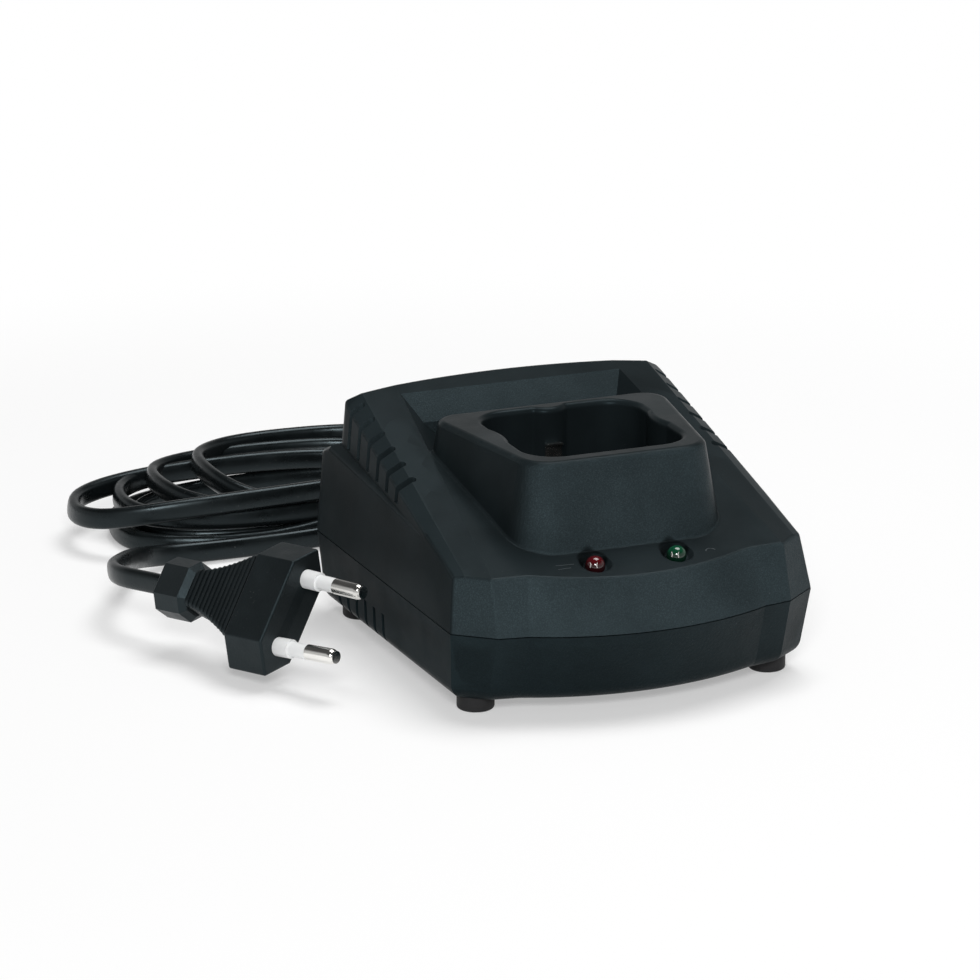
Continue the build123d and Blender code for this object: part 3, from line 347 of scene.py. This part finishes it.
def makeLens(name, colour, node):
    look = lampLook
    material, tree, output = startMaterial(name)
    place = objectPlace(tree)
    facing = addNode(tree, "ShaderNodeNewGeometry").outputs["True Normal"]
    facing = addNode(tree, "ShaderNodeSeparateXYZ", None, Vector=facing).outputs[2]
    offset = addNode(tree, "ShaderNodeVectorMath", {"operation": "SUBTRACT"}, n0=place, n1=crownOf(node))
    across = addNode(tree, "ShaderNodeVectorMath", {"operation": "DOT_PRODUCT"}, n0=offset.outputs[0],
                     n1=look["leadAcross"])
    swirl = ramp(tree, noise(tree, place, look["swirlScale"], 2.0), *look["swirlRange"])
    tinted = blendColour(tree, swirl, scaled(colour, look["swirlDark"]), scaled(colour, 1.0))
    # painted shade: darker where the dome faces sideways, paler at the up-facing crown
    tinted = blendColour(tree, ramp(tree, facing, *look["rimRange"]), scaled(colour, look["rim"]), tinted)
    aside = calculate(tree, "ABSOLUTE", across.outputs["Value"])
    bend = calculate(tree, "ABSOLUTE", calculate(tree, "SUBTRACT", facing, look["leadWaist"]))
    bend = calculate(tree, "MULTIPLY", bend, look["leadBend"])
    offside = calculate(tree, "SUBTRACT", calculate(tree, "SUBTRACT", aside, bend), look["leadGap"])
    lead = ramp(tree, calculate(tree, "ABSOLUTE", offside), look["leadHalf"], look["leadHalf"] * 0.5)
    for limit in ("leadFoot", "leadTop"):
        lead = calculate(tree, "MULTIPLY", lead, ramp(tree, facing, *look[limit]))
    # the leads inside the lens, painted on its surface in a bright metal tone as a painted glint
    tinted = blendColour(tree, lead, tinted, look["lead"])
    rough = ramp(tree, noise(tree, place, look["glossScale"], 2.0), *look["glossRange"], *look["roughness"])
    shader = addNode(tree, "ShaderNodeBsdfPrincipled", None, Base_Color=tinted, Roughness=rough)
    shader.inputs["Coat Weight"].default_value = look["coat"]
    shader.inputs["Coat Roughness"].default_value = look["coatRoughness"]
    tree.links.new(shader.outputs[0], output.inputs["Surface"])
    return material


# green solder mask with copper tracks showing through
boardLook = {
    "mask": (0.012, 0.11, 0.04, 1.0),
    "track": (0.03, 0.2, 0.07, 1.0),
    "fibre": (0.05, 0.3, 0.12, 1.0),
    "fibreShare": 0.15,
    "fibreScale": 1800.0,
    "pitch": 260.0,
    "trackEdge": (0.09, 0.07),
    "trackDepth": 0.00004,
    "fibreRange": (0.2, 0.8),
    "glossRange": (0.3, 0.7),
    "roughness": (0.24, 0.34),
}


def makeBoard(name):
    look = boardLook
    material, tree, output = startMaterial(name)
    place = objectPlace(tree)
    cells = addNode(tree, "ShaderNodeTexVoronoi", {"feature": "DISTANCE_TO_EDGE", "distance": "MANHATTAN"},
                    Vector=place, Scale=look["pitch"])
    track = ramp(tree, cells.outputs[0], *look["trackEdge"])
    fibre = noise(tree, place, look["fibreScale"], 2.0)
    mixed = blendColour(tree, track, look["mask"], look["track"])
    weave = ramp(tree, fibre, *look["fibreRange"], 0.0, look["fibreShare"])
    mixed = blendColour(tree, weave, mixed, look["fibre"])
    bump = addNode(tree, "ShaderNodeBump", None, Height=track, Strength=1.0, Distance=look["trackDepth"])
    rough = ramp(tree, fibre, *look["glossRange"], *look["roughness"])
    shader = addNode(tree, "ShaderNodeBsdfPrincipled", None, Base_Color=mixed, Roughness=rough,
                     Normal=bump.outputs[0])
    tree.links.new(shader.outputs[0], output.inputs["Surface"])
    return material


# clear tube of the fuse
glassLook = {
    "colour": (0.9, 0.95, 0.95, 1.0),
    "clear": 0.95,
    "glossScale": 600.0,
    "glossRange": (0.3, 0.7),
    "roughness": (0.02, 0.08),
}


def makeGlass(name):
    material, tree, output = startMaterial(name)
    smears = noise(tree, objectPlace(tree), glassLook["glossScale"], 2.0)
    rough = ramp(tree, smears, *glassLook["glossRange"], *glassLook["roughness"])
    shader = addNode(tree, "ShaderNodeBsdfPrincipled", None, Roughness=rough)
    shader.inputs["Base Color"].default_value = glassLook["colour"]
    shader.inputs["Transmission Weight"].default_value = glassLook["clear"]
    tree.links.new(shader.outputs[0], output.inputs["Surface"])
    return material


# the lower shell is plainer and darker than the upper one
baseLook = {
    **shellLook,
    "colour": (0.0075, 0.0122, 0.014),
    "satin": 0.42,
    # less painted light and fewer painted glints on the lower shell's front-facing eroded faces
    "erodedPaintedLight": 1.0,
    "paintedSparkle": 0.3,
    "frontLine": (-0.034, -0.038),
}

# every plain finish, by the material name that its nodes carry
plainLooks = {
    "black_rubber": ("footRubber", (0.012, 0.012, 0.013), 0.68,
                     {"grain": 2200, "depth": 0.00003, "dust": 0.4, "specular": 0.35}),
    "zinc_steel": ("zincSteel", (0.6, 0.6, 0.58), 0.34,
                   {"metallic": 1.0, "grain": 1800, "depth": 0.00001, "edgeWearAndHighlight": 0.2}),
    "ferrite": ("ferrite", (0.035, 0.036, 0.04), 0.62, {"grain": 1400, "depth": 0.00005}),
    "yellow_tape": ("windingTape", (0.72, 0.55, 0.06), 0.4,
                    {"grain": 500, "depth": 0.00004, "stretch": (0.2, 0.2, 3)}),
    "black_component": ("componentResin", (0.018, 0.018, 0.019), 0.48, {"grain": 2600, "edgeWearAndHighlight": 0.3}),
    "white_component": ("paleResin", (0.75, 0.75, 0.72), 0.5, {"grain": 2600}),
    "can_sleeve": ("canSleeve", (0.02, 0.03, 0.09), 0.28, {"grain": 700, "coat": 0.2}),
    "film_case": ("filmCase", (0.6, 0.42, 0.04), 0.35, {"grain": 1500}),
    "aluminium_plate": ("rolledAluminium", (0.78, 0.79, 0.8), 0.32,
                        {"metallic": 1.0, "grain": 500, "stretch": (1, 14, 1)}),
    "contact_metal": ("contactNickel", (0.78, 0.77, 0.73), 0.22,
                      {"metallic": 1.0, "grain": 1200, "depth": 0.00001, "edgeWearAndHighlight": 0.2}),
    "cord_black": ("cordSheath", (0.004, 0.0052, 0.0056), 0.3,
                   {"grain": 500, "depth": 0.00004, "cloud": 0.06, "dust": 0.2, "specular": 0.34,
                    "sheen": (0.75, 0.93, 1.0)}),
    "core_brown": ("coreBrown", (0.12, 0.045, 0.02), 0.35, {}),
    "core_blue": ("coreBlue", (0.02, 0.09, 0.42), 0.35, {}),
    "plug_black": ("plugRubber", (0.006, 0.0078, 0.0085), 0.46,
                   {"grain": 1700, "depth": 0.00004, "cloud": 0.06, "edgeWearAndHighlight": 0.3, "dust": 0.3, "specular": 0.3,
                    "sheen": (0.65, 0.9, 1.0)}),
    "pin_nickel": ("pinNickel", (0.8, 0.79, 0.76), 0.17, {"metallic": 1.0, "depth": 0.000008, "edgeWearAndHighlight": 0.2}),
    "mark_grey": ("markGrey", (0.045, 0.055, 0.06), 0.45, {"grain": 2500, "depth": 0.00001, "specular": 0.3}),
    "sleeve_white": ("pinSleeve", (0.86, 0.87, 0.87), 0.38, {"grain": 1600, "depth": 0.00001, "tint": 0.04}),
}

finishes = {
    "black_shell": makeShell("caseSatin", shellLook),
    "black_base": makeShell("baseSatin", baseLook),
    "red_lens": makeLens("redLens", lampLook["red"], "lamp_red"),
    "green_lens": makeLens("greenLens", lampLook["green"], "lamp_green"),
    "board_green": makeBoard("solderMask"),
    "fuse_glass": makeGlass("fuseGlass"),
}
for slotName, (title, tone, gloss, extras) in plainLooks.items():
    finishes[slotName] = makeFinish(title, tone, gloss, **extras)


def paintNodes():
    for name, thing in nodes.items():
        slot = thing.data.materials[0].name.split(".")[0]
        if slot not in finishes:
            raise RuntimeError("no finish for " + name + " " + slot)
        paint(thing, finishes[slot])


paintNodes()
print("finishes ready:", len(finishes))

# printed marks beside the lamps: two dashes by the red one, an arc by the green one; millimetres
marks = {
    "dashes": [((-21.1, -41.5), (-16.4, -41.8)), ((-21.1, -43.1), (-17.7, -43.1))],
    "arc": (19.6, -43.7, 1.35),
    "width": 0.28,
    "arcFrom": 20.0,
    "arcTo": 160.0,
    "steps": 12,
    "lookFrom": 200.0,
    "rise": 0.05,
    "thickness": 0.08,
}


def deckHeight(x, y):
    # height of the upper shell under a point, looking straight down
    shell = nodes["upper_shell"]
    place = shell.ray_cast(Vector((x, y, marks["lookFrom"])) * mm, Vector((0, 0, -1)))[1]
    return place.z / mm


def addStrip(mesh, line, width):
    # a thin ribbon lying on the deck along a line of (x, y) places
    rows = []
    for index, (x, y) in enumerate(line):
        ahead = Vector(line[min(index + 1, len(line) - 1)])
        behind = Vector(line[max(index - 1, 0)])
        along = (ahead - behind).normalized()
        side = Vector((-along.y, along.x)) * (width / 2)
        low = deckHeight(x, y) + marks["rise"] - marks["thickness"]
        row = []
        for turn, lift in ((1, 0), (1, marks["thickness"]), (-1, marks["thickness"]), (-1, 0)):
            spot = Vector((x, y)) + side * turn
            row.append(mesh.verts.new(Vector((spot.x, spot.y, low + lift)) * mm))
        rows.append(row)
    for first, second in zip(rows, rows[1:]):
        for index in range(4):
            after = (index + 1) % 4
            mesh.faces.new((first[index], first[after], second[after], second[index]))
    mesh.faces.new(list(reversed(rows[0])))
    mesh.faces.new(rows[-1])


def addMarks():
    mesh = bmesh.new()
    for first, last in marks["dashes"]:
        line = []
        for step in range(marks["steps"] + 1):
            line.append(Vector(first).lerp(Vector(last), step / marks["steps"]))
        addStrip(mesh, line, marks["width"])
    centreX, centreY, radius = marks["arc"]
    sweep = marks["arcTo"] - marks["arcFrom"]
    bow = []
    for step in range(marks["steps"] + 1):
        angle = math.radians(marks["arcFrom"] + sweep * step / marks["steps"])
        bow.append((centreX + radius * math.cos(angle), centreY + radius * math.sin(angle)))
    addStrip(mesh, bow, marks["width"])
    printed = finishMesh("deck_marks", mesh, False)
    paint(printed, finishes["mark_grey"])
    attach(printed, "root")


# mains cord: flat two-core lead, standing on its edge; millimetres
cord = {
    "width": 5.6,
    "thickness": 3.5,
    "sides": 24,
    # the flat flanks between the two round cores
    "waist": 0.04,
    "flankSharpness": 3.0,
    # the cord turns a little about its own line, in radians, as it runs
    "twist": 0.12,
    "twistRuns": 40.0,
    "smoothness": 10,
    "exit": (12.0, 75.5, 12.5),
    "tail": [(12, 61.5, 12.5), (12, 87.5, 12.5), (-6.4, 103.5, 7.9)],
    "lead": [
        (-60, 99.5, 3.0), (-77, 99.5, 3.6), (-88.7, 84.5, 8.6),
        (-103.0, 58.0, 14.6), (-94.1, 40.3, 15.8), (-92.2, 36.7, 15.9),
    ],
    "perQuarter": 4,
    "squareness": 0.8,
    "wander": 0.3,
    "seed": 7,
    # the four sides that each turn passes: front, left, rear, right
    "turns": [
        ((-35, 102.5, 3.0), (-77, 123, 3.0), (-35, 152.0, 3.0), (12, 128, 3.0)),
        ((-34, 106.5, 3.1), (-71, 127, 3.0), (-33, 148.5, 4.5), (8, 128, 5.5)),
        ((-33, 104.5, 8.9), (-75, 127, 9.4), (-38, 151.5, 9.5), (12, 129, 9.2)),
        ((-33, 109.0, 9.2), (-63, 134, 12.0), (-29, 155.0, 11.0), (9, 131, 10.5)),
        ((-31, 113.0, 9.4), (-49, 136, 13.8), (-20, 157.5, 13.2), (14, 130, 14.0)),
        ((-38, 103.5, 14.6), (-89, 125.5, 9.2), (-36, 148.5, 10.4), (8, 127, 8.6)),
    ],
    "last": (-32, 99.3, 3.0),
}


def coilRoute():
    # clockwise from above: a quarter of a squared-off ellipse between one side and the next
    random.seed(cord["seed"])
    sides = [place for turn in cord["turns"] for place in turn] + [cord["last"]]
    steps = cord["perQuarter"]
    wander = cord["wander"]
    points = []
    for index, (here, after) in enumerate(zip(sides, sides[1:])):
        for step in range(steps):
            share = step / steps
            bend = math.sin(share * math.pi / 2) ** cord["squareness"]
            rest = math.cos(share * math.pi / 2) ** cord["squareness"]
            sideways = index % 2 == 0
            x = here[0] + (after[0] - here[0]) * (bend if sideways else 1 - rest)
            y = here[1] + (after[1] - here[1]) * (1 - rest if sideways else bend)
            z = here[2] + (after[2] - here[2]) * share * share * (3 - 2 * share)
            x += random.uniform(-1, 1) * wander
            y += random.uniform(-1, 1) * wander
            points.append((x, y, z))
    return points + [sides[-1]]


def splineLine(name, points):
    # the places along a smooth curve through the route, in metres
    curve = bpy.data.curves.new(name, "CURVE")
    curve.dimensions = "3D"
    spline = curve.splines.new("NURBS")
    spline.points.add(len(points) - 1)
    for point, place in zip(spline.points, points):
        point.co = (*(Vector(place) * mm), 1.0)
    spline.order_u = 3
    spline.use_endpoint_u = True
    spline.resolution_u = cord["smoothness"]
    holder = bpy.data.objects.new(name, curve)
    line = [v.co.copy() for v in bpy.data.meshes.new_from_object(holder).vertices]
    bpy.data.objects.remove(holder)
    return line


def flatSection():
    # two round cores under one sheath: straight flanks, round ends
    section = []
    rounding = cord["thickness"] / 2
    half = (cord["width"] - cord["thickness"]) / 2
    for index in range(cord["sides"]):
        angle = 2 * math.pi * index / cord["sides"]
        up = math.sin(angle)
        across = math.cos(angle) * rounding * (1 - cord["waist"] * math.cos(2 * angle))
        section.append((across, up * rounding + half * math.tanh(cord["flankSharpness"] * up)))
    return section


def sweepFlat(name, line, section):
    # the section stays upright along the line, apart from its slight twist
    mesh = bmesh.new()
    rings = []
    for index, place in enumerate(line):
        ahead = line[min(index + 1, len(line) - 1)]
        behind = line[max(index - 1, 0)]
        along = (ahead - behind).normalized()
        tall = (Vector((0, 0, 1)) - along * along.z).normalized()
        share = index / (len(line) - 1)
        tall = Matrix.Rotation(cord["twist"] * math.sin(share * cord["twistRuns"]), 3, along) @ tall
        across = along.cross(tall)
        rings.append([mesh.verts.new(place + across * (a * mm) + tall * (b * mm)) for a, b in section])
    sides = len(section)
    for first, second in zip(rings, rings[1:]):
        for index in range(sides):
            after = (index + 1) % sides
            mesh.faces.new((first[index], first[after], second[after], second[index]))
    mesh.faces.new(list(reversed(rings[0])))
    mesh.faces.new(rings[-1])
    return finishMesh(name, mesh)


def addCord():
    route = cord["tail"] + coilRoute() + cord["lead"]
    line = splineLine("cordLine", route)
    lead = sweepFlat("mains_cord", line, flatSection())
    paint(lead, finishes["cord_black"])
    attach(lead, "root")
    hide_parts("cord_tail", "cord_coil", "cord_lead")


addCord()
addMarks()
print("marks laid on the deck")

# stage: a white floor that catches the shadow, a sky that shows white to the camera, and two softboxes
stage = {
    "floorSize": 8.0,
    "floorDrop": 0.0001,
    # the floor's own white: this share near the middle, all of it past the fade, in metres
    "near": 0.38,
    "fade": (0.2, 0.34),
    "middle": (-0.02, 0.04, 0.0),
    # the sky: its light on rough surfaces, then what a reflection sees between two heights
    "world": 0.12,
    "sweep": (0.35, 0.6, 0.5, 0.06),
    "aim": (0.0, 0.0, 0.03),
    "top": {"place": (0.3, 0.2, 1.4), "size": (0.9, 0.8), "power": 14.0},
    "front": {"place": (-0.7, -1.7, 1.1), "size": (0.6, 0.5), "power": 24.0},
}


def addFloor():
    half = stage["floorSize"] / 2
    mesh = bmesh.new()
    corners = ((-half, -half), (half, -half), (half, half), (-half, half))
    mesh.faces.new([mesh.verts.new((x, y, -stage["floorDrop"])) for x, y in corners])
    floor = finishMesh("floor", mesh, False)
    material, tree, output = startMaterial("paleFloor")
    place = objectPlace(tree)
    away = addNode(tree, "ShaderNodeVectorMath", {"operation": "DISTANCE"}, n0=place, n1=stage["middle"])
    far = ramp(tree, away.outputs["Value"], *stage["fade"], stage["near"], 1.0)
    path = addNode(tree, "ShaderNodeLightPath")
    seen = calculate(tree, "MAXIMUM", path.outputs["Is Camera Ray"], path.outputs["Is Glossy Ray"])
    seen = calculate(tree, "MAXIMUM", seen, path.outputs["Is Transmission Ray"])
    diffuse = addNode(tree, "ShaderNodeBsdfDiffuse", None, Color=(1.0, 1.0, 1.0, 1.0))
    glow = addNode(tree, "ShaderNodeEmission", None, Color=(1.0, 1.0, 1.0, 1.0), Strength=1.0)
    mixed = addNode(tree, "ShaderNodeMixShader", None, n0=calculate(tree, "MULTIPLY", far, seen),
                    n1=diffuse.outputs[0], n2=glow.outputs[0])
    tree.links.new(mixed.outputs[0], output.inputs["Surface"])
    paint(floor, material)


def addWorld():
    world = bpy.data.worlds.new("studio")
    world.use_nodes = True
    bpy.context.scene.world = world
    tree = world.node_tree
    tree.nodes.clear()
    output = tree.nodes.new("ShaderNodeOutputWorld")
    direction = addNode(tree, "ShaderNodeTexCoord").outputs["Generated"]
    up = addNode(tree, "ShaderNodeSeparateXYZ", None, Vector=direction).outputs[2]
    sweep = ramp(tree, up, *stage["sweep"])
    path = addNode(tree, "ShaderNodeLightPath")
    strength = addNode(tree, "ShaderNodeMix", {"data_type": "FLOAT"}, n0=path.outputs["Is Diffuse Ray"],
                       n2=sweep, n3=stage["world"])
    strength = addNode(tree, "ShaderNodeMix", {"data_type": "FLOAT"}, n0=path.outputs["Is Camera Ray"],
                       n2=strength.outputs[0], n3=1.0)
    light = addNode(tree, "ShaderNodeBackground", None, Color=(1.0, 1.0, 1.0, 1.0),
                    Strength=strength.outputs[0])
    tree.links.new(light.outputs[0], output.inputs["Surface"])


def addLamp(name, settings):
    data = bpy.data.lights.new(name, "AREA")
    data.shape = "RECTANGLE"
    data.size = settings["size"][0]
    data.size_y = settings["size"][1]
    data.energy = settings["power"]
    lamp = bpy.data.objects.new(name, data)
    bpy.context.scene.collection.objects.link(lamp)
    lamp.location = settings["place"]
    lamp.rotation_mode = "QUATERNION"
    lamp.rotation_quaternion = (Vector(stage["aim"]) - lamp.location).to_track_quat("-Z", "Y")
    lamp.visible_camera = False


addFloor()
addWorld()
for lampName in ("top", "front"):
    addLamp(lampName + "Softbox", stage[lampName])
print("stage lit")
